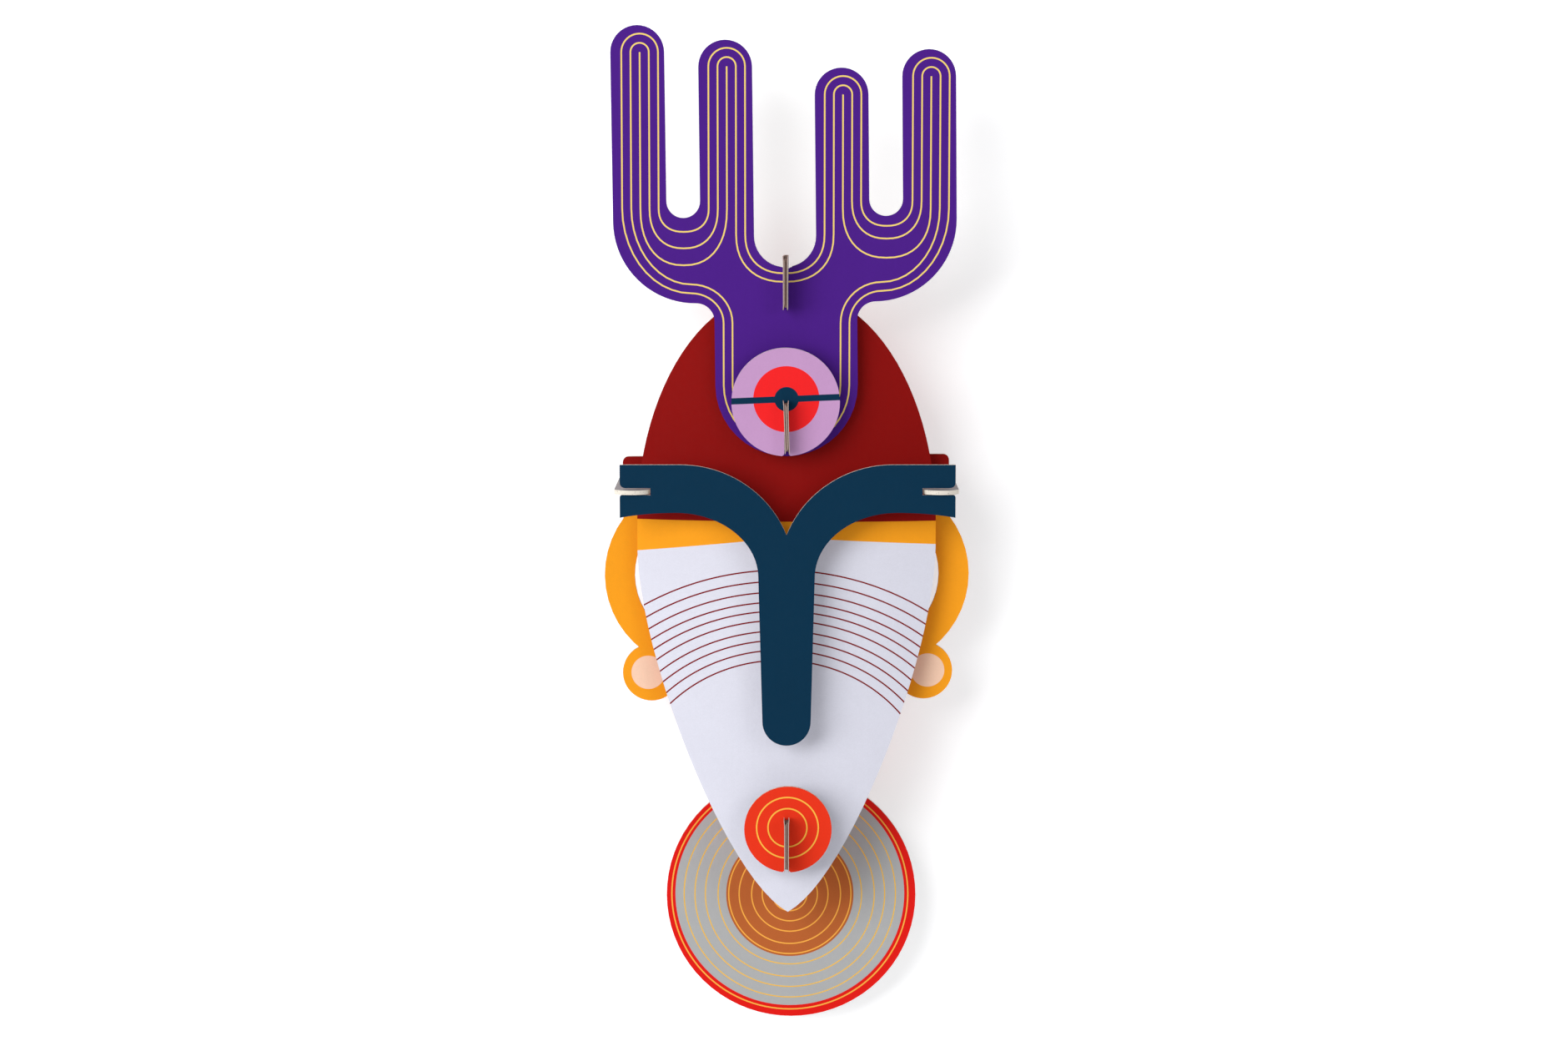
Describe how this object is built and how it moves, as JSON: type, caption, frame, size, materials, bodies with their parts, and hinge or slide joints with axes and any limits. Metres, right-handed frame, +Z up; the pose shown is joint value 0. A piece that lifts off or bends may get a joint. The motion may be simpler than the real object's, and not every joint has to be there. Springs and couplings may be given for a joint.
{
  "type": "hanging paper wall mask",
  "caption": "Tall slot-together cardboard wall mask: flat antlers, bent almond face, brow-and-nose card, ears, and forehead, mouth and chin discs on an upright spine card.",
  "frame": {"origin": "on the wall plane, on the spine card's straight back edge, level with the middle of its hanging hole", "axes": "+Z up the mask, +X to the right of someone looking at its face, -Y out of the wall towards them, +Y into the wall"},
  "size_m": [0.168, 0.068, 0.4633],
  "materials": {
    "bare_board": "unprinted corrugated board, grey-brown edges",
    "purple_print": "matt print, purple with gold lines",
    "lilac_print": "matt print, lilac with a red disc and a navy dot and bar",
    "navy_print": "matt print, plain navy",
    "face_print": "matt print, dark red, yellow and pale lilac bands with dark red arcs",
    "yellow_print": "matt print, yellow with a dark red brim and salmon ear lobes",
    "red_orange_print": "matt print, red-orange with yellow rings",
    "grey_print": "matt print, grey with a red rim, a brown centre and orange rings"
  },
  "bodies": {
    "root": {"spine": "bare_board", "brow_rib": "bare_board", "antlers": "purple_print", "forehead_disc": "lilac_print", "brow_and_nose": "navy_print", "face": "face_print", "ears_and_brim": "yellow_print", "mouth_disc": "red_orange_print", "chin_disc": "grey_print"}
  },
  "joints": []
}
